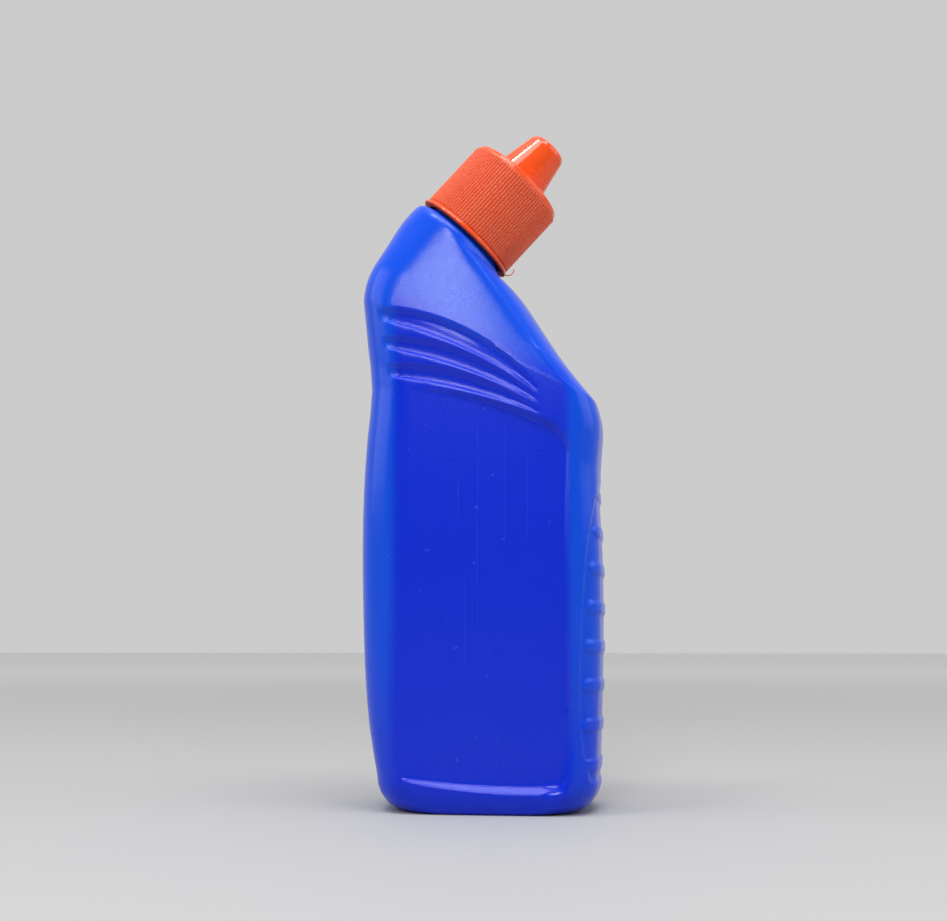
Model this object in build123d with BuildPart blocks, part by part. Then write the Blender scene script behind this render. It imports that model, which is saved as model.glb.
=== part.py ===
# Toilet cleaner bottle with an angled neck: blow-moulded bottle, pressed-in
# pouring nozzle and ribbed screw cap. Millimetres, +Z up, X along the wide
# face, -Y the front face. The origin is on the standing plane under the middle.

import math
import os

from build123d import *

os.makedirs("parts", exist_ok=True)

# Body wall and base
wall = 1.1
heel_turns = (0, 20, 40, 60, 75)
push_up = 2.2
push_up_slope = 0.7
stand_rim = 3.5

# Bow of the section's sides, as half of each side's arc
face_bow = 2.0
side_bow = 8.0

# Body sections: left end x and z, right end x and z, half depth, left and right
# corner radius. They lie level at the heel and lean more and more towards the
# neck. The lower body ends at the shoulder's corner, where the upper one starts.
face_half = 23.3
base_section = (-26.5, 0, 31.0, 0, 21.5, 19.0, 18.0)
heel_section = (-35.7, 12, 40.7, 12, 24.2, 13.2, 11.2)
corner_section = (-42.4, 176.5, 41.0, 137.4, face_half, 14.0, 12.5)
lower_sections = [
    heel_section,
    (-38.5, 27, 41.4, 27, 23.8, 13.8, 11.5),
    (-40.1, 42, 41.9, 42, 23.5, 14.3, 11.7),
    (-41.0, 57, 42.4, 57, face_half, 14.7, 11.9),
    (-41.6, 73, 42.6, 73, face_half, 15.0, 12.0),
    (-41.9, 90, 42.4, 88, face_half, 15.0, 12.0),
    (-41.7, 108, 41.8, 102, face_half, 15.0, 12.0),
    (-40.7, 126, 41.5, 115, face_half, 15.0, 12.0),
    (-39.2, 144, 42.5, 126, face_half, 15.0, 12.0),
    (-40.8, 160, 42.3, 132, face_half, 15.0, 12.0),
    corner_section,
]
upper_sections = [
    corner_section,
    (-41.6, 182.8, 38.3, 141.0, 22.8, 14.5, 13.5),
    (-35.6, 196.2, 25.6, 159.0, 21.5, 17.0, 16.0),
    (-31.2, 204.4, 14.8, 176.2, 20.8, 19.0, 18.5),
]

# Neck axis: its lean from the vertical, and the point where it crosses the
# plane of the cap's lower edge. Heights along the axis count from that plane.
neck_lean = 43.0
neck_x = -6.9
neck_z = 201.5
collar_r = 20.6
collar_base = -4.2
collar_flat = 0.3
ledge_round = 3.0
neck_r = 15.4
neck_wall = 2.6
bore_reach = 6.0
neck_top = 24.4
neck_lip = 0.5

# Label panel: a flat floor, deeper to the right, with sloping edges
panel_left_x = -27.0
panel_left_y = -face_half - 0.2
panel_turn = 1.75
panel_reach = 4.0
panel_top_slope = 0.9
panel_right_slope = 1.4
panel_foot_slope = 1.1

# Flutes: lower and upper arc of each. They are drawn at two depths, with a sloping
# ledge below and a long slope above, and fade out to the right.
flute_depth = 1.4
flute_inner = face_half - 1.6
flute_outer = face_half + 0.7
flute_ledge = 1.3
flute_slope = 3.6
flute_end_slope = 0.8
fade_x = 24.0
fade_half = face_half + 0.3
fade_rate = 0.05
fade_block = 60.0
fade_block_drop = 10.0
backing_reach = 8.0
backing_width = 20.0
flutes = [
    (((-36.0, 167.0), (-5.3, 157.2), (20.6, 140.0)), ((20.9, 140.8), (-2.0, 162.4), (-36.4, 171.3))),
    (((-35.2, 157.0), (-5.3, 149.8), (21.0, 136.2)), ((21.2, 136.9), (-3.0, 154.6), (-35.8, 161.3))),
    (((-34.4, 146.6), (-4.0, 142.1), (22.6, 131.6)), ((22.7, 132.2), (-2.0, 146.8), (-34.8, 151.5))),
]

# Grip on the narrow side, with ribs
grip_depth = 0.7
grip_top = 113.5
grip_foot = 10.2
grip_reach = 55.0
rib_proud = 0.55
rib_height = 3.4
rib_count = 8
rib_first_z = 15.8
rib_pitch = 12.85
rib_tip_x = 34.8
rib_tip_z = 28.0
rib_tip_curve = 0.0011
rib_tip_max = 40.0

# Nozzle plug
plug_fit = 0.05
plug_wall = 1.2
plug_depth = 9.0
flange_set_in = 0.6
flange_t = 1.2
spout_base_r = 7.9
spout_tip_r = 4.3
spout_height = 19.4
orifice_r = 1.5

# Screw cap
cap_wall = 1.8
rib_r = 0.42
cap_ribs = 104
bead_proud = 1.0
bead_height = 0.9
bead_flare = 0.9
bead_edge = 0.3
land_height = 2.0
land_top = 0.4
cap_edge = 2.0
ease_middle = 0.6
ease_ends = 0.35
thread_room = 1.6
cap_top_t = 1.8
spout_room = 1.1
tip_room = 1.3
cover_edge = 2.2
cover_foot = 1.5
cover_wall = 1.3
seal_set_in = 1.8
seal_t = 1.0
seal_height = 1.95
seal_gap = 0.15

# What the plug and the cap take from the neck and the spout they fit
neck_bore_r = neck_r - neck_wall
plug_r = neck_bore_r - plug_fit
flange_r = neck_r - flange_set_in
flange_top = neck_top + flange_t
spout_top = neck_top + spout_height
bore_r = neck_r + thread_room
skirt_r = bore_r + cap_wall
bead_r = skirt_r + bead_proud
seal_r = flange_r - seal_set_in
cap_inner_top = flange_top + seal_gap + seal_height
skirt_height = cap_inner_top + cap_top_t
cover_base_r = spout_base_r + spout_room + cover_wall
cover_tip_r = spout_tip_r + tip_room + cover_wall
cover_top = spout_top + tip_room + cover_wall

lean = math.radians(neck_lean)
lean_dir = (math.sin(lean), 0, math.cos(lean))
across_dir = (math.cos(lean), 0, -math.sin(lean))
neck_origin = (neck_x, 0, neck_z)
neck_axis = Axis(neck_origin, lean_dir)
neck_profile = Plane(neck_origin, x_dir=across_dir, z_dir=(0, -1, 0))
neck_plane = Plane(neck_origin, x_dir=across_dir, z_dir=lean_dir)

# The round top of the body, as one more section
collar_x = neck_x + collar_base * lean_dir[0]
collar_z = neck_z + collar_base * lean_dir[2]
collar_section = (
    collar_x - collar_r * across_dir[0],
    collar_z - collar_r * across_dir[2],
    collar_x + collar_r * across_dir[0],
    collar_z + collar_r * across_dir[2],
    collar_r * math.cos(math.radians(face_bow)),
    collar_r - collar_flat,
    collar_r - collar_flat,
)


def section_face(spec, inset, lift=0):
    """A body section on its own plane, lifted off it and drawn in.

    Four sides and four corners make it up, all smooth arcs.
    """
    left_x, left_z, right_x, right_z, half, left_r, right_r = spec
    sf, cf = math.sin(math.radians(face_bow)), math.cos(math.radians(face_bow))
    ss, cs = math.sin(math.radians(side_bow)), math.cos(math.radians(side_bow))
    face_rise = math.tan(math.radians(face_bow) / 2)
    side_rise = math.tan(math.radians(side_bow) / 2)
    mid = math.radians(45 + (side_bow - face_bow) / 2)
    width = math.hypot(right_x - left_x, right_z - left_z)
    plane = Plane(
        ((left_x + right_x) / 2, 0, (left_z + right_z) / 2),
        x_dir=(right_x - left_x, 0, right_z - left_z),
        z_dir=(left_z - right_z, 0, right_x - left_x),
    ).offset(lift)
    ends = []
    for side, r in ((-1, left_r), (1, right_r)):
        y = half - r * cf
        x = width / 2 - r * cs - (y + r * ss) * side_rise
        q = r - inset
        ends.append(
            {
                "face": (side * (x + q * sf), y + q * cf),
                "corner": (side * (x + q * math.sin(mid)), y + q * math.cos(mid)),
                "side": (side * (x + q * cs), y + q * ss),
                "middle": (side * (x + q * cs + (y + q * ss) * side_rise), 0),
            }
        )
    left, right = ends
    half_face = (right["face"][0] - left["face"][0]) / 2
    crown = ((right["face"][0] + left["face"][0]) / 2, right["face"][1] + half_face * face_rise)
    with BuildSketch(plane) as outline:
        with BuildLine():
            ThreePointArc(front(left["face"]), front(crown), front(right["face"]))
            ThreePointArc(front(right["face"]), front(right["corner"]), front(right["side"]))
            ThreePointArc(front(right["side"]), right["middle"], right["side"])
            ThreePointArc(right["side"], right["corner"], right["face"])
            ThreePointArc(right["face"], crown, left["face"])
            ThreePointArc(left["face"], left["corner"], left["side"])
            ThreePointArc(left["side"], left["middle"], front(left["side"]))
            ThreePointArc(front(left["side"]), front(left["corner"]), front(left["face"]))
        make_face()
    return outline.sketch.face()


def front(point):
    return (point[0], -point[1])


def nearest(sketch, x, y):
    """The corner of a profile nearest to a point."""
    return sketch.vertices().sort_by_distance((x, y, 0))[0]


def ease(sketch, x, y, size):
    """Rounds a profile's corner off by three short flats."""
    chamfer(nearest(sketch, x, y), size * ease_middle)
    chamfer(sketch.vertices().sort_by_distance((x, y, 0))[:2], size * ease_ends)


def halfway(rows):
    """The rows with one more between each two, on a smooth curve through them."""
    padded = [rows[0], *rows, rows[-1]]
    finer = []
    for before, low, high, after in zip(padded, padded[1:], padded[2:], padded[3:]):
        finer.append(low)
        finer.append(tuple((9 * (b + c) - a - d) / 16 for a, b, c, d in zip(before, low, high, after)))
    return finer + [rows[-1]]


def heel_rows(turns):
    """The rows of the rounded heel, from the standing outline up to the heel section."""
    rows = []
    for turn in turns:
        t = math.radians(turn)
        row = [b + (h - b) * math.sin(t) for b, h in zip(base_section, heel_section)]
        row[1] = row[3] = heel_section[1] * (1 - math.cos(t))
        rows.append(row)
    return rows


def skin(inset, fine=True):
    """The plain body, drawn in by inset all round: heel, body, shoulder and round top."""
    turns = heel_turns if fine else heel_turns[::2]
    rise = 1 - inset / heel_section[1]
    heel = [section_face(row, inset, inset + (rise - 1) * row[1]) for row in heel_rows(turns)]
    rows = halfway(lower_sections) if fine else lower_sections[::2]
    lower = [section_face(spec, inset) for spec in rows]
    upper = [section_face(spec, inset) for spec in upper_sections + [collar_section]]
    with BuildPart() as plain:
        loft(sections=heel + lower, ruled=True)
        loft(sections=upper, ruled=not fine)
    return plain.part


def rim():
    """The rounded edge of the shoulder's round top, up to the ledge under the cap."""
    faces = []
    for turn in (0, 22.5, 45, 67.5, 90):
        t = math.radians(turn)
        faces.append(section_face(collar_section, ledge_round * (1 - math.cos(t)), ledge_round * math.sin(t)))
    with BuildPart() as edge:
        loft(sections=faces, ruled=True)
    return edge.part


def panel_face(plane, top, right, foot):
    """The label panel's outline, with its top, right and lower edges moved out."""
    with BuildSketch(plane) as outline:
        with BuildLine():
            upper = ThreePointArc((-7, 142.4 + top), (23, 138.7 + top), (50 + right / 2, 128.6 + top))
            bend = TangentArc(upper @ 1, (57.2 + right, 119.5), tangent=upper % 1)
            edge = ThreePointArc(bend @ 1, (55.8 + right, 72), (57 + right, 30))
            corner = TangentArc(edge @ 1, (54.5 + right / 2, 9.4 - foot), tangent=edge % 1)
            lower = ThreePointArc(corner @ 1, (31, 9.4 - foot), (-7, 13 - foot))
            Line(lower @ 1, upper @ 0)
        make_face()
    return outline.sketch.face()


def panel_tool(inset):
    """What the label panel takes off the front and the back."""
    turn = math.radians(panel_turn)
    floor = Plane(
        (panel_left_x, panel_left_y + inset, 0),
        x_dir=(math.cos(turn), math.sin(turn), 0),
        z_dir=(math.sin(turn), -math.cos(turn), 0),
    )
    low = panel_face(floor, inset, inset, inset)
    high = panel_face(
        floor.offset(panel_reach),
        inset + panel_reach * panel_top_slope,
        inset + panel_reach * panel_right_slope,
        inset + panel_reach * panel_foot_slope,
    )
    with BuildPart() as tool:
        loft(sections=[low, high], ruled=True)
        mirror(about=Plane.XZ)
    return tool.part


def flute_face(depth, low, high):
    """One flute's outline at a depth, between a lower and an upper arc."""
    with BuildSketch(Plane.XZ.offset(depth)) as outline:
        with BuildLine():
            ThreePointArc(*low)
            Line(low[2], high[0])
            ThreePointArc(*high)
            Line(high[2], low[0])
        make_face()
    return outline.sketch.face()


def flute_tool():
    """The three channels that sweep down from the shoulder on the front and the back."""
    pairs = []
    for low, high in flutes:
        sunk = (high[0], (high[1][0], high[1][1] - flute_slope), (high[2][0], high[2][1] - flute_end_slope))
        ledge = (low[0], (low[1][0], low[1][1] - flute_ledge), low[2])
        pairs.append((flute_face(flute_inner, low, sunk), flute_face(flute_outer, ledge, high)))
    with BuildPart() as tool:
        for pair in pairs:
            loft(sections=pair, ruled=True)
        mirror(about=Plane.XZ)
        add(skin(flute_depth), mode=Mode.SUBTRACT)
        with BuildSketch(Plane.XY.offset(flutes[-1][0][2][1] - fade_block_drop)):
            far_x = 2 * flutes[0][0][0][0]
            far_half = fade_half - (fade_x - far_x) * fade_rate
            end_half = fade_half + fade_x * fade_rate
            with BuildLine():
                Polyline(
                    (2 * fade_x, -end_half),
                    (2 * fade_x, end_half),
                    (far_x, far_half),
                    (far_x, -far_half),
                    close=True,
                )
            make_face()
        extrude(amount=fade_block, mode=Mode.SUBTRACT)
    return tool.part


def flute_backing():
    """The hollow's wall behind the flutes, drawn in by their depth."""
    with BuildPart() as tool:
        with BuildSketch(Plane.XZ.offset(flute_inner - backing_reach)):
            with BuildLine():
                upper = ThreePointArc((-37.5, 173.5), (-1, 164.5), (23, 142))
                lower = ThreePointArc((24.5, 130), (-4, 140.5), (-37, 144.5))
                Line(upper @ 1, lower @ 0)
                Line(lower @ 1, upper @ 0)
            make_face()
        extrude(amount=backing_width)
        mirror(about=Plane.XZ)
        add(skin(wall + flute_depth, fine=False), mode=Mode.SUBTRACT)
    return tool.part


def grip_tool():
    """The sunk grip on the narrow side under the neck."""
    with BuildPart() as tool:
        with BuildSketch(Plane.XZ):
            with BuildLine():
                edge = Spline((42, grip_top), (37.6, 92), (34.9, 66), (34, 44), (34.4, 24), (37.4, grip_foot))
                Line(edge @ 1, (grip_reach, grip_foot))
                Line((grip_reach, grip_foot), (grip_reach, grip_top))
                Line((grip_reach, grip_top), edge @ 0)
            make_face()
        extrude(amount=2 * face_half, both=True)
        add(skin(grip_depth), mode=Mode.SUBTRACT)
    return tool.part


def rib_bars():
    """The raised ribs across the grip, ending in round tips."""
    with BuildPart() as bars:
        with BuildSketch(Plane.XZ):
            for n in range(rib_count):
                z = rib_first_z + n * rib_pitch
                tip_x = min(rib_tip_x + rib_tip_curve * (z - rib_tip_z) ** 2, rib_tip_max)
                with Locations(((tip_x + grip_reach) / 2, z)):
                    SlotOverall(grip_reach - tip_x, rib_height)
        extrude(amount=2 * face_half, both=True)
        add(skin(grip_depth - rib_proud), mode=Mode.INTERSECT)
    return bars.part


def base_tool(inset):
    """The pushed-up middle of the base, inside the standing rim."""
    height = push_up + inset
    low = section_face(base_section, stand_rim - inset)
    high = section_face(base_section, stand_rim - inset + push_up_slope * height, height)
    with BuildPart() as tool:
        loft(sections=[low, high], ruled=True)
    return tool.part


# The hollow: the body's form drawn in by the wall, and the bore of the neck
with BuildPart() as cavity:
    add(skin(wall, fine=False))
    add(panel_tool(wall), mode=Mode.SUBTRACT)
    add(flute_backing(), mode=Mode.SUBTRACT)
    add(base_tool(wall), mode=Mode.SUBTRACT)
    with BuildSketch(neck_plane.offset(collar_base - bore_reach)):
        Circle(neck_bore_r)
    extrude(amount=neck_top - collar_base + 2 * bore_reach)

with BuildPart() as bottle:
    add(skin(0))
    add(grip_tool(), mode=Mode.SUBTRACT)
    add(panel_tool(0), mode=Mode.SUBTRACT)
    add(flute_tool(), mode=Mode.SUBTRACT)
    add(base_tool(0), mode=Mode.SUBTRACT)
    add(rib_bars())
    add(rim())
    with BuildSketch(neck_profile) as finish:
        with BuildLine():
            Polyline(
                (0, collar_base),
                (neck_r, collar_base),
                (neck_r, neck_top),
                (0, neck_top),
                (0, collar_base),
            )
        make_face()
        chamfer(nearest(finish, neck_r, neck_top), neck_lip)
    revolve(axis=neck_axis)
    add(cavity.part, mode=Mode.SUBTRACT)
bottle.part.label = "bottle"
export_step(bottle.part, "parts/bottle.step")


# Pouring nozzle: a flange on the neck's rim, a skirt down into the neck and a
# hollow spout with a small orifice.
with BuildPart() as nozzle_plug:
    with BuildSketch(neck_profile):
        with BuildLine():
            Polyline(
                (orifice_r, spout_top),
                (spout_tip_r, spout_top),
                (spout_base_r, flange_top),
                (flange_r, flange_top),
                (flange_r, neck_top),
                (plug_r, neck_top),
                (plug_r, neck_top - plug_depth),
                (plug_r - plug_wall, neck_top - plug_depth),
                (plug_r - plug_wall, neck_top),
                (spout_base_r - plug_wall, neck_top),
                (spout_tip_r - plug_wall, spout_top - plug_wall),
                (orifice_r, spout_top - plug_wall),
                (orifice_r, spout_top),
            )
        make_face()
    revolve(axis=neck_axis)
nozzle_plug.part.label = "nozzle_plug"
export_step(nozzle_plug.part, "parts/nozzle_plug.step")


# Screw cap: ribbed skirt with a smooth bead at its foot, and a round cover
# over the spout.
with BuildPart() as screw_cap:
    with BuildSketch(neck_profile) as outside:
        with BuildLine():
            Polyline(
                (0, 0),
                (bead_r, 0),
                (bead_r, bead_height),
                (skirt_r, bead_height + bead_flare),
                (skirt_r, skirt_height),
                (cover_base_r, skirt_height),
                (cover_tip_r, cover_top),
                (0, cover_top),
                (0, 0),
            )
        make_face()
        chamfer(nearest(outside, bead_r, 0), bead_edge)
        chamfer(nearest(outside, bead_r, bead_height), bead_edge)
        ease(outside, skirt_r, skirt_height, cap_edge)
        ease(outside, cover_base_r, skirt_height, cover_foot)
        ease(outside, cover_tip_r, cover_top, cover_edge)
    revolve(axis=neck_axis)
    with BuildSketch(neck_plane.offset(land_height)):
        Circle(skirt_r)
        with PolarLocations(skirt_r, cap_ribs):
            RegularPolygon(rib_r, 6, rotation=30)
    extrude(amount=skirt_height - land_height - cap_edge - land_top)
    with BuildSketch(neck_profile):
        with BuildLine():
            Polyline(
                (0, 0),
                (bore_r, 0),
                (bore_r, cap_inner_top),
                (seal_r + seal_t, cap_inner_top),
                (seal_r + seal_t, flange_top + seal_gap),
                (seal_r, flange_top + seal_gap),
                (seal_r, cap_inner_top),
                (cover_base_r - cover_wall, cap_inner_top),
                (cover_tip_r - cover_wall, cover_top - cover_wall),
                (0, cover_top - cover_wall),
                (0, 0),
            )
        make_face()
    revolve(axis=neck_axis, mode=Mode.SUBTRACT)
screw_cap.part.label = "screw_cap"
export_step(screw_cap.part, "parts/screw_cap.step")
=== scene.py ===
"""Toilet cleaner bottle with a leaning neck: blown shell, finishes, mould marks, stage and camera."""

import math
import random

import bpy
import bmesh
from mathutils import Matrix, Vector
from mathutils.bvhtree import BVHTree


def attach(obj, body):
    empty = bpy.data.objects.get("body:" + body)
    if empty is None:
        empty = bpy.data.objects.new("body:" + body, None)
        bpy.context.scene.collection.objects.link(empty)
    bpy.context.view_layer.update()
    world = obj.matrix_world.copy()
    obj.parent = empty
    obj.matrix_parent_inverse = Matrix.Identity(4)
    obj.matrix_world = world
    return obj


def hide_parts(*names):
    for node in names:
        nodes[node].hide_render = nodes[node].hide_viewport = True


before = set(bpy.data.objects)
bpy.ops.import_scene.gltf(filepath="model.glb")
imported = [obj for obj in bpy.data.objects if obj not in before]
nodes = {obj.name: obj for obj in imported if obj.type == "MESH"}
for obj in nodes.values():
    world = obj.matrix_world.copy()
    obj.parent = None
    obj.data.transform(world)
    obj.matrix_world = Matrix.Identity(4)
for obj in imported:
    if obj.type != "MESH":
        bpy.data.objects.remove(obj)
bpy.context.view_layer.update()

MM = 0.001

# Camera: the photograph's width and the focal length in pixels, and the place in metres
PHOTO_WIDTH = 947
FOCAL_PIXELS = 1277.5
SENSOR_WIDTH = 36.0
CAMERA_PLACE = Vector((47.04, -447.53, 55.0)) * MM
CAMERA_TARGET = Vector((-3.53, 0.0, 119.95)) * MM
CAMERA_NEAREST = 0.01
CAMERA_FARTHEST = 40.0

# Neck axis: the point where it crosses the plane of the cap's lower edge, and its lean
NECK_FOOT = Vector((-6.9, 0.0, 201.5)) * MM
NECK_LEAN = math.radians(43.0)
NECK_FRAME = Matrix.Translation(NECK_FOOT) @ Matrix.Rotation(NECK_LEAN, 4, "Y")
NECK_DIRECTION = Vector((math.sin(NECK_LEAN), 0.0, math.cos(NECK_LEAN)))

# Blown shell: its even mesh and the passes that ease all of it
MERGE = 0.001 * MM
RAY_START = 0.05 * MM
SHELL_VOXEL = 0.5 * MM
SHELL_TRIANGLES = 190000
EASING_FACTOR = 0.5
SHELL_EASING = 2

# Further easing on the shoulder: passes below heights along the neck, above a sloping line
SLOPE_EASING = [(-5.0 * MM, 50), (-3.0 * MM, 16)]
SLOPE_FOOT = 168.0 * MM
SLOPE_FALL = 0.6

# Further easing by the panel's lower right corner, within reaches of x and z
CORNER_EASING = 40
CORNER_REACH = [(22.0 * MM, 33.6 * MM), (2.5 * MM, 34.0 * MM)]

# Thread on the neck: radii, widths, height of its start, pitch and turns
THREAD_ROOT = 15.2 * MM
THREAD_CREST = 16.5 * MM
THREAD_FOOT = 1.5 * MM
THREAD_TIP = 0.5 * MM
THREAD_START = 7.0 * MM
THREAD_PITCH = 4.2 * MM
THREAD_TURNS = 2.5
THREAD_STEPS_A_TURN = 48

# Flash along the parting line: points near the outline with sizes, in mm
FLASH_BITS = [
    ((-30.0, 0, 209.5), 0.40),
    ((-27.2, 0, 213.6), 0.40),
    ((-25.6, 0, 215.0), 0.60),
    ((-24.2, 0, 215.8), 0.50),
    ((33.6, 0, 148.3), 0.45),
    ((8.6, 0, 185.4), 0.30),
    ((9.6, 0, 183.6), 0.30),
]
FLASH_SEED = 7
FLASH_FLATTENED = (1.0, 0.55, 0.6)
FLASH_SPREAD = (0.7, 1.2)

# Curl of flash on the low side of the cap's edge
CURL_CENTRE = Vector((9.3, -2.0, 188.9)) * MM
CURL_RADIUS = 2.0 * MM
CURL_THICKNESS = 0.2 * MM
CURL_START = math.radians(200)
CURL_TURN = math.radians(165)
CURL_SIDES = 8
CURL_STEPS = 20

# Colours, in linear light
BOTTLE_DEEP = (0.001, 0.024, 0.630)
# painted light: the lighter blue of the sides and the shoulder where they catch the light
BOTTLE_PAINTED_LIGHT = (0.004, 0.074, 0.710)
BOTTLE_PALE = (0.090, 0.190, 0.840)
CAP_RED = (0.900, 0.095, 0.014)
CAP_DEEP = (0.820, 0.078, 0.012)
# pale of the scuffs, of the painted sheen on the ribs and of the flash's mottle
CAP_PALE = (0.900, 0.300, 0.170)
NOZZLE_WHITE = (0.800, 0.800, 0.770)
NOZZLE_SHADE = (0.620, 0.620, 0.580)
FLASH_WHITE = (0.780, 0.800, 0.840)
FLOOR_NEAR = (0.440, 0.440, 0.440)
FLOOR_FAR = (0.940, 0.940, 0.940)

# Bands where the bottle's finish and its painted light change, each from none to full
FLAT_FACING = (0.93, 0.985)
# The panel's edges, the rise of the sides and the shoulder's band place the painted light
PANEL_LEFT = (-31 * MM, -26 * MM)
PANEL_RIGHT = (29 * MM, 33 * MM)
SIDES_RISE = (8 * MM, 70 * MM)
SIDES_AT_HEEL = 0.35
SHOULDER_RISE = (154 * MM, 168 * MM)
SHOULDER_FALL = 0.55
DUST_CUT = (0.82, 0.86)
SEAM_REACH = 0.22 * MM

# Faint lines that the hot tube left down the panel, in mm: x, lowest and highest z
FLOW_LINES = [(0.3, 55, 133), (9.4, 84, 132), (17.1, 86, 124), (-6.2, 88, 112), (-4.0, 40, 80)]
FLOW_REACH = 0.22
FLOW_LOW_FADE = 12
FLOW_HIGH_FADE = 6
STREAK_CUT = (0.52, 0.72)
STREAK_DRAWN_OUT = (1.0, 1.0, 0.06)
STREAK_LEAST = 0.35

# Bands of the cap's finish, as heights along the neck
CAP_UNDERSIDE = (0.1 * MM, 0.3 * MM)
RIBS_FOOT = (1.8 * MM, 2.3 * MM)
RIBS_TOP = (27.0 * MM, 28.5 * MM)
SCUFF_FOOT = (25 * MM, 28 * MM)
SCUFF_CUT = (0.62, 0.8)
CAP_CLOUD_CUT = (0.3, 0.7)

# Floor and light: sizes in metres, soft boxes by place, target, size and radiance
FLOOR_REACH = 8.0
FLOOR_FADE = (0.1, 2.5)
SOFTBOXES = {
    "front": ((-0.06, -0.96, 0.64), (0, 0, 0.17), (0.20, 0.22), 22),
    "overhead": ((0.15, -0.42, 1.15), (0, 0, 0.15), (0.80, 0.50), 6),
    "overhead_small": ((-0.30, -0.28, 1.15), (0, 0, 0.20), (0.16, 0.16), 24),
    "left_side": ((-1.1, -0.30, 0.70), (0, 0, 0.12), (1.0, 0.9), 1.7),
    "right_side": ((1.1, -0.15, 0.70), (0, 0, 0.12), (1.0, 0.9), 1.5),
}
SKY_PLACE = (0.0, -0.1, 1.5)
SKY_STRENGTH = 0.7
SKY_SPREAD = math.radians(60)

# Brightness of the room in front of the bottle and behind it
ROOM_FRONT = 0.12
ROOM_BACK = 0.60
ROOM_TURN = (-0.3, 0.6)

# A Mix node's sockets for colours, which share their names with its other sockets
MIX_FIRST = 6
MIX_SECOND = 7
MIX_RESULT = 2


class Value:
    """A shader socket that adds a Math node for each operator used on it."""

    def __init__(self, shading, socket):
        self.shading = shading
        self.socket = socket

    def math(self, operation, first, second):
        made = self.shading.node("ShaderNodeMath", {"operation": operation}, {0: first, 1: second})
        return Value(self.shading, made.outputs[0])

    def __add__(self, other):
        return self.math("ADD", self, other)

    __radd__ = __add__

    def __sub__(self, other):
        return self.math("SUBTRACT", self, other)

    def __rsub__(self, other):
        return self.math("SUBTRACT", other, self)

    def __mul__(self, other):
        return self.math("MULTIPLY", self, other)

    __rmul__ = __mul__

    def __abs__(self):
        return self.math("ABSOLUTE", self, 0.0)

    def above(self, low, high):
        """0 below low, 1 above high and a smooth step between."""
        made = self.shading.node(
            "ShaderNodeMapRange",
            {"interpolation_type": "SMOOTHSTEP"},
            {"Value": self, "From Min": low, "From Max": high},
        )
        return Value(self.shading, made.outputs["Result"])

    def near(self, middle, reach):
        """1 at the middle, falling to 0 at a reach to either side."""
        return 1 - abs(self - middle).above(0, reach)


class Shading:
    """A node tree that takes its nodes by one method."""

    def __init__(self, tree):
        self.tree = tree

    def node(self, kind, settings=None, sockets=None):
        """Adds a node, with its settings set first and then its sockets' values or links."""
        made = self.tree.nodes.new(kind)
        for key, value in (settings or {}).items():
            setattr(made, key, value)
        for key, value in (sockets or {}).items():
            self.plug(value, made.inputs[key])
        return made

    def plug(self, value, entry):
        """Links a value or an output to a socket, or sets plain numbers there."""
        source = value.socket if isinstance(value, Value) else value
        if isinstance(source, bpy.types.NodeSocket):
            self.tree.links.new(source, entry)
        else:
            entry.default_value = source

    def axes(self, vector):
        """The three parts of a vector, as values."""
        split = self.node("ShaderNodeSeparateXYZ", sockets={"Vector": vector})
        return [Value(self, split.outputs[axis]) for axis in "XYZ"]


class Finish(Shading):
    """One material: its shader, its object coordinates and its patterns."""

    def __init__(self, name, specular):
        self.material = bpy.data.materials.new(name)
        self.material.use_nodes = True
        super().__init__(self.material.node_tree)
        self.shader = self.tree.nodes["Principled BSDF"]
        self.feed("Specular IOR Level", specular)
        coordinates = self.node("ShaderNodeTexCoord")
        self.place = coordinates.outputs["Object"]
        self.facing = coordinates.outputs["Normal"]

    def feed(self, name, value):
        self.plug(value, self.shader.inputs[name])

    def along(self, start, direction):
        """Distance from a point along a direction."""
        moved = self.node("ShaderNodeMapping", sockets={"Vector": self.place, "Location": -start})
        dotted = self.node(
            "ShaderNodeVectorMath",
            {"operation": "DOT_PRODUCT"},
            {0: moved.outputs["Vector"], 1: direction},
        )
        return Value(self, dotted.outputs["Value"])

    def noise(self, waves, detail=2.0, stretch=(1, 1, 1)):
        """Grain with about so many waves a millimetre, drawn out where stretch is small."""
        drawn = self.node("ShaderNodeMapping", sockets={"Vector": self.place, "Scale": stretch})
        grain = self.node(
            "ShaderNodeTexNoise",
            sockets={"Vector": drawn.outputs["Vector"], "Scale": waves / MM, "Detail": detail},
        )
        return Value(self, grain.outputs["Fac"])

    def blend(self, factor, first, second):
        """A colour between two, each given as three numbers or as a socket."""
        first, second = (
            colour if isinstance(colour, bpy.types.NodeSocket) else (*colour, 1)
            for colour in (first, second)
        )
        mixed = self.node(
            "ShaderNodeMix",
            {"data_type": "RGBA"},
            {"Factor": factor, MIX_FIRST: first, MIX_SECOND: second},
        )
        return mixed.outputs[MIX_RESULT]

    def bump(self, height, depth, soften=None):
        """Raises the surface by height times a depth, over edges that may be softened by a radius."""
        sockets = {"Distance": depth, "Height": height}
        if soften:
            bevel = self.node("ShaderNodeBevel", {"samples": 6}, {"Radius": soften})
            sockets["Normal"] = bevel.outputs["Normal"]
        self.feed("Normal", self.node("ShaderNodeBump", sockets=sockets).outputs["Normal"])


def flow_line(x, z, place, low, high):
    """One upright line on the panel, fading out at both ends."""
    rising = z.above(low * MM, (low + FLOW_LOW_FADE) * MM)
    falling = 1 - z.above((high - FLOW_HIGH_FADE) * MM, high * MM)
    return x.near(place * MM, FLOW_REACH * MM) * rising * falling


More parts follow.
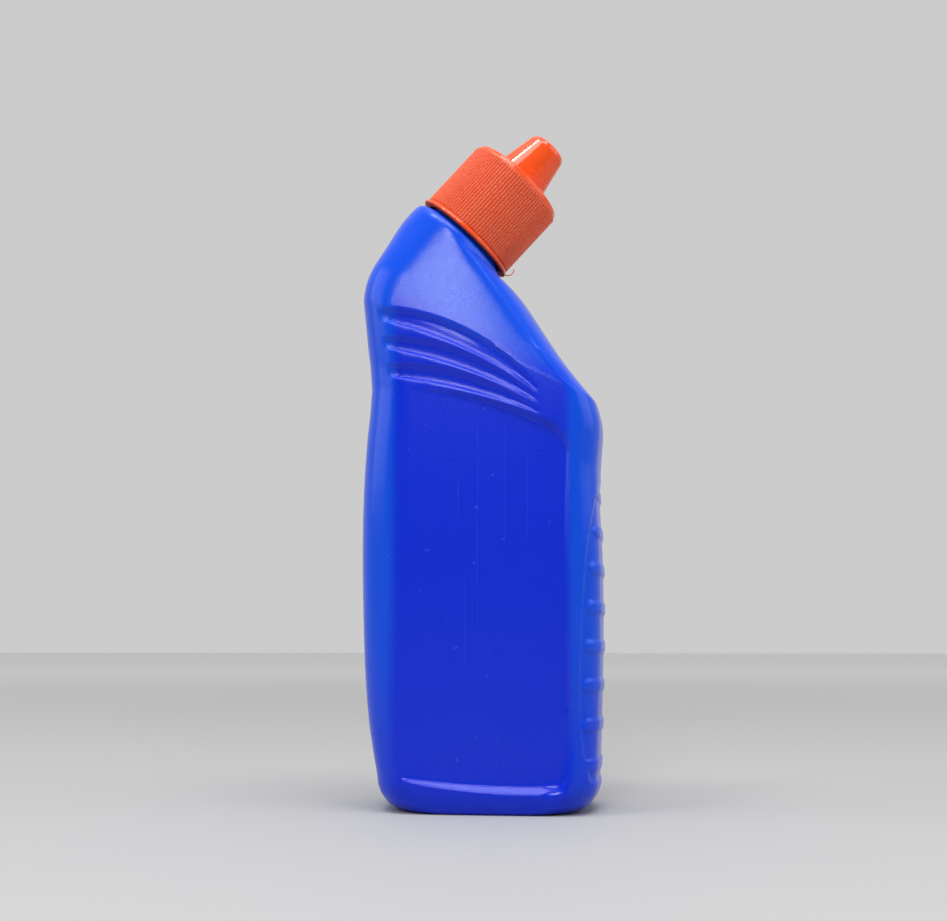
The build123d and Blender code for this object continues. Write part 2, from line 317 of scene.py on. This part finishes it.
def bottle_finish():
    """Blue blown plastic: satin, grained on the flat faces, with flow lines, a parting seam and
    painted light on the sides and shoulder.
    """
    finish = Finish("bottle_blue", specular=0.3)
    x, y, z = finish.axes(finish.place)
    flat = abs(finish.axes(finish.facing)[1]).above(*FLAT_FACING)
    grain = finish.noise(waves=2.2)
    cloud = finish.noise(waves=0.02, detail=1.0)
    dust = finish.noise(waves=0.55, detail=0.0).above(*DUST_CUT) * flat
    streak = finish.noise(waves=0.9, stretch=STREAK_DRAWN_OUT).above(*STREAK_CUT)
    lines = sum(flow_line(x, z, *line) for line in FLOW_LINES)
    lines = lines * flat * (STREAK_LEAST + (1 - STREAK_LEAST) * streak)

    # Painted light: the narrow sides and the shoulder are painted a lighter blue where they catch the
    # light, with less of it towards the heel
    sides = 1 - x.above(*PANEL_LEFT) * (1 - x.above(*PANEL_RIGHT))
    sides = sides * (SIDES_AT_HEEL + (1 - SIDES_AT_HEEL) * z.above(*SIDES_RISE))
    shoulder = (z + SHOULDER_FALL * x).above(*SHOULDER_RISE)
    painted_light = sides + (1 - sides) * shoulder

    base = finish.blend(painted_light * (0.8 + 0.4 * cloud), BOTTLE_DEEP, BOTTLE_PAINTED_LIGHT)
    finish.feed("Base Color", finish.blend(0.25 * lines + 0.2 * dust, base, BOTTLE_PALE))
    finish.feed("Roughness", 0.20 + 0.03 * finish.noise(waves=0.08) + 0.03 * flat * grain)
    finish.bump(flat * grain + 0.6 * y.near(0, SEAM_REACH) + 0.5 * lines, depth=0.05 * MM)
    return finish


def cap_finish():
    """Orange-red moulded plastic: satin on the ribs with a painted pale sheen, glossy on the bead and
    the spout cover.
    """
    finish = Finish("cap_red", specular=0.42)
    height = finish.along(NECK_FOOT, NECK_DIRECTION)
    ribbed = height.above(*RIBS_FOOT) * (1 - height.above(*RIBS_TOP))
    under = 1 - height.above(*CAP_UNDERSIDE)
    cloud = finish.noise(waves=0.04)
    scuff = finish.noise(waves=0.35, detail=3.0).above(*SCUFF_CUT) * height.above(*SCUFF_FOOT)
    base = finish.blend(cloud.above(*CAP_CLOUD_CUT), CAP_DEEP, CAP_RED)
    # Scuffs are real wear; the pale over the ribs is a painted sheen
    finish.feed("Base Color", finish.blend(0.25 * scuff + 0.16 * ribbed, base, CAP_PALE))
    finish.feed("Roughness", 0.09 + 0.24 * ribbed + 0.5 * under + 0.03 * cloud)
    finish.bump(cloud, depth=0.02 * MM, soften=0.5 * MM)
    return finish


def nozzle_finish():
    """Soft white plastic of the pouring nozzle."""
    finish = Finish("nozzle_white", specular=0.45)
    grain = finish.noise(waves=1.0)
    cloud = finish.noise(waves=0.06, detail=1.0)
    finish.feed("Base Color", finish.blend(0.25 * cloud, NOZZLE_WHITE, NOZZLE_SHADE))
    finish.feed("Roughness", 0.34 + 0.14 * grain)
    finish.bump(grain, depth=0.02 * MM, soften=0.3 * MM)
    return finish


def flash_finish(name, colour, shade):
    """Torn plastic flash, mottled between two colours."""
    finish = Finish(name, specular=0.4)
    grain = finish.noise(waves=2.5, detail=3.0)
    finish.feed("Base Color", finish.blend(grain, colour, shade))
    finish.feed("Roughness", 0.4 + 0.2 * grain)
    finish.bump(grain, depth=0.08 * MM)
    return finish


def floor_finish():
    """Plain paint, paler with distance from the bottle."""
    finish = Finish("floor_paint", specular=0.2)
    length = finish.node("ShaderNodeVectorMath", {"operation": "LENGTH"}, {"Vector": finish.place})
    distance = Value(finish, length.outputs["Value"])
    finish.feed("Base Color", finish.blend(distance.above(*FLOOR_FADE), FLOOR_NEAR, FLOOR_FAR))
    finish.feed("Roughness", 0.7)
    return finish


def link(name, data):
    """An object of the scene that holds some data."""
    made = bpy.data.objects.new(name, data)
    bpy.context.scene.collection.objects.link(made)
    return made


def as_mesh(name, shape):
    """A finished bmesh as a mesh."""
    mesh = bpy.data.meshes.new(name)
    shape.to_mesh(mesh)
    shape.free()
    return mesh


def piece(name, shape, finish, body):
    """Makes a finished bmesh a smooth-shaded piece that rides on a body."""
    mesh = as_mesh(name, shape)
    mesh.shade_smooth()
    mesh.materials.append(finish.material)
    made = link(name, mesh)
    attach(made, body)
    return made


def wear(node, finish):
    """Gives a CAD node a finish."""
    nodes[node].data.materials.clear()
    nodes[node].data.materials.append(finish.material)


def outer_skin(node):
    """The outside of a hollow node as a closed form: its hollow is left out and its mouth filled."""
    shape = bmesh.new()
    shape.from_mesh(nodes[node].data)
    bmesh.ops.remove_doubles(shape, verts=shape.verts, dist=MERGE)
    shape.normal_update()
    walls = BVHTree.FromBMesh(shape)
    inside = []
    for face in shape.faces:
        start = face.calc_center_median() + face.normal * RAY_START
        if walls.ray_cast(start, face.normal)[0] is not None:
            inside.append(face)
    bmesh.ops.delete(shape, geom=inside, context="FACES")
    bmesh.ops.holes_fill(shape, edges=shape.edges, sides=0)
    return shape


def evened(shape):
    """A closed form made again with small even faces."""
    block = link("rough_block", as_mesh("rough_block", shape))
    remesh = block.modifiers.new("even", "REMESH")
    remesh.mode = "VOXEL"
    remesh.voxel_size = SHELL_VOXEL
    seen = block.evaluated_get(bpy.context.evaluated_depsgraph_get())
    even = bmesh.new()
    even.from_mesh(seen.to_mesh())
    seen.to_mesh_clear()
    rough = block.data
    bpy.data.objects.remove(block)
    bpy.data.meshes.remove(rough)
    return even


def on_slope(place, top):
    """Whether a point is on the shoulder, above the flutes and below the round rim."""
    height = (place - NECK_FOOT).dot(NECK_DIRECTION)
    return height < top and place.z + SLOPE_FALL * place.x > SLOPE_FOOT


def in_corner(place):
    """Whether a point is by the panel's lower right corner, where its edge fades out."""
    return all(low < value < high for value, (low, high) in zip(place.xz, CORNER_REACH))


def ease(shape, verts, passes):
    """Draws points towards their neighbours, so many times over."""
    for _ in range(passes):
        bmesh.ops.smooth_vert(
            shape, verts=verts, factor=EASING_FACTOR, use_axis_x=True, use_axis_y=True, use_axis_z=True
        )


def bottle_shell(finish):
    """The bottle's skin with the soft edges of a blown moulding."""
    shape = evened(outer_skin("bottle"))
    ease(shape, shape.verts, SHELL_EASING)
    for top, passes in SLOPE_EASING:
        ease(shape, [vert for vert in shape.verts if on_slope(vert.co, top)], passes)
    ease(shape, [vert for vert in shape.verts if in_corner(vert.co)], CORNER_EASING)
    bmesh.ops.triangulate(shape, faces=shape.faces)
    share = min(1.0, SHELL_TRIANGLES / len(shape.faces))
    made = piece("bottle_shell", shape, finish, "bottle")
    fewer = made.modifiers.new("fewer", "DECIMATE")
    fewer.ratio = share
    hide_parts("bottle")
    return made


def neck_thread(finish):
    """A raised thread round the neck."""
    shape = bmesh.new()
    corners = [
        (THREAD_ROOT, -THREAD_FOOT / 2),
        (THREAD_CREST, -THREAD_TIP / 2),
        (THREAD_CREST, THREAD_TIP / 2),
        (THREAD_ROOT, THREAD_FOOT / 2),
    ]
    profile = shape.faces.new([shape.verts.new((r, 0, THREAD_START + h)) for r, h in corners])
    bmesh.ops.spin(
        shape,
        geom=[profile, *profile.edges, *profile.verts],
        cent=(0, 0, 0),
        axis=(0, 0, 1),
        dvec=(0, 0, THREAD_PITCH / THREAD_STEPS_A_TURN),
        angle=THREAD_TURNS * math.tau,
        steps=int(THREAD_TURNS * THREAD_STEPS_A_TURN),
        use_duplicate=False,
    )
    bmesh.ops.recalc_face_normals(shape, faces=shape.faces)
    bmesh.ops.transform(shape, matrix=NECK_FRAME, verts=shape.verts)
    piece("neck_thread", shape, finish, "bottle")


def parting_flash(shell, finish):
    """Small torn lumps left on the parting line, seated on the shell's outline."""
    draw = random.Random(FLASH_SEED)
    skin = bmesh.new()
    skin.from_mesh(shell.data)
    outline = BVHTree.FromBMesh(skin)
    skin.free()
    shape = bmesh.new()
    for place, size in FLASH_BITS:
        seat, normal = outline.find_nearest(Vector(place) * MM)[:2]
        lump = bmesh.ops.create_icosphere(shape, subdivisions=2, radius=size * MM)["verts"]
        bmesh.ops.scale(shape, vec=FLASH_FLATTENED, verts=lump)
        for vert in lump:
            vert.co *= draw.uniform(*FLASH_SPREAD)
        turn = normal.to_track_quat("Z", "Y").to_matrix().to_4x4()
        bmesh.ops.transform(shape, matrix=Matrix.Translation(seat) @ turn, verts=lump)
    piece("parting_flash", shape, finish, "bottle")


def cap_flash(finish):
    """A thin curl of flash hanging off the low side of the cap's edge."""
    shape = bmesh.new()
    outward = Vector((math.cos(CURL_START), 0, math.sin(CURL_START)))
    onward = Vector((-math.sin(CURL_START), 0, math.cos(CURL_START)))
    turn = onward.to_track_quat("Z", "Y").to_matrix().to_4x4()
    stand = Matrix.Translation(CURL_CENTRE + CURL_RADIUS * outward) @ turn
    bmesh.ops.create_circle(
        shape, cap_ends=True, segments=CURL_SIDES, radius=CURL_THICKNESS, matrix=stand
    )
    bmesh.ops.spin(
        shape,
        geom=[*shape.verts, *shape.edges, *shape.faces],
        cent=CURL_CENTRE,
        axis=(0, -1, 0),
        dvec=(0, 0, 0),
        angle=CURL_TURN,
        steps=CURL_STEPS,
        use_duplicate=False,
    )
    bmesh.ops.recalc_face_normals(shape, faces=shape.faces)
    piece("cap_flash", shape, finish, "cap")


def stage():
    """A wide pale floor under the standing plane."""
    shape = bmesh.new()
    bmesh.ops.create_grid(shape, x_segments=1, y_segments=1, size=FLOOR_REACH)
    mesh = as_mesh("floor", shape)
    mesh.materials.append(floor_finish().material)
    link("floor", mesh)


def aimed(name, data, place, target):
    """A lamp or camera at a place, turned to a target."""
    made = link(name, data)
    aim = Vector(target) - Vector(place)
    turn = aim.to_track_quat("-Z", "Y").to_matrix().to_4x4()
    made.matrix_world = Matrix.Translation(place) @ turn
    return made


def softbox(name, place, target, size, radiance):
    """An even rectangle of light, as bright as radiance says."""
    lamp = bpy.data.lights.new(name, "AREA")
    lamp.shape = "RECTANGLE"
    lamp.size, lamp.size_y = size
    lamp.energy = radiance * math.pi * lamp.size * lamp.size_y
    aimed(name, lamp, place, target)


def room():
    """A white room, dim in front of the bottle and pale behind it."""
    world = bpy.data.worlds.new("room")
    world.use_nodes = True
    bpy.context.scene.world = world
    shading = Shading(world.node_tree)
    direction = shading.node("ShaderNodeTexCoord").outputs["Generated"]
    behind = shading.axes(direction)[1].above(*ROOM_TURN)
    background = world.node_tree.nodes["Background"]
    shading.plug((1, 1, 1, 1), background.inputs["Color"])
    shading.plug(ROOM_FRONT + (ROOM_BACK - ROOM_FRONT) * behind, background.inputs["Strength"])


def studio():
    """Soft boxes in front, overhead and at the sides, with a wide soft sun above."""
    for name, settings in SOFTBOXES.items():
        softbox(name, *settings)
    sky = bpy.data.lights.new("above", "SUN")
    sky.energy = SKY_STRENGTH
    sky.angle = SKY_SPREAD
    aimed("above", sky, SKY_PLACE, (0, 0, 0))
    room()


def camera():
    """The photograph's view."""
    data = bpy.data.cameras.new("photo_camera")
    data.sensor_width = SENSOR_WIDTH
    data.sensor_fit = "HORIZONTAL"
    data.lens = FOCAL_PIXELS * SENSOR_WIDTH / PHOTO_WIDTH
    data.clip_start = CAMERA_NEAREST
    data.clip_end = CAMERA_FARTHEST
    bpy.context.scene.camera = aimed("photo_camera", data, CAMERA_PLACE, CAMERA_TARGET)


blue = bottle_finish()
shell = bottle_shell(blue)
neck_thread(blue)
parting_flash(shell, flash_finish("flash_pale", FLASH_WHITE, BOTTLE_PALE))
cap_flash(flash_finish("flash_red", CAP_PALE, CAP_RED))
wear("bottle", blue)
wear("screw_cap", cap_finish())
wear("nozzle_plug", nozzle_finish())

stage()
studio()
camera()
bpy.context.scene.view_settings.view_transform = "Standard"
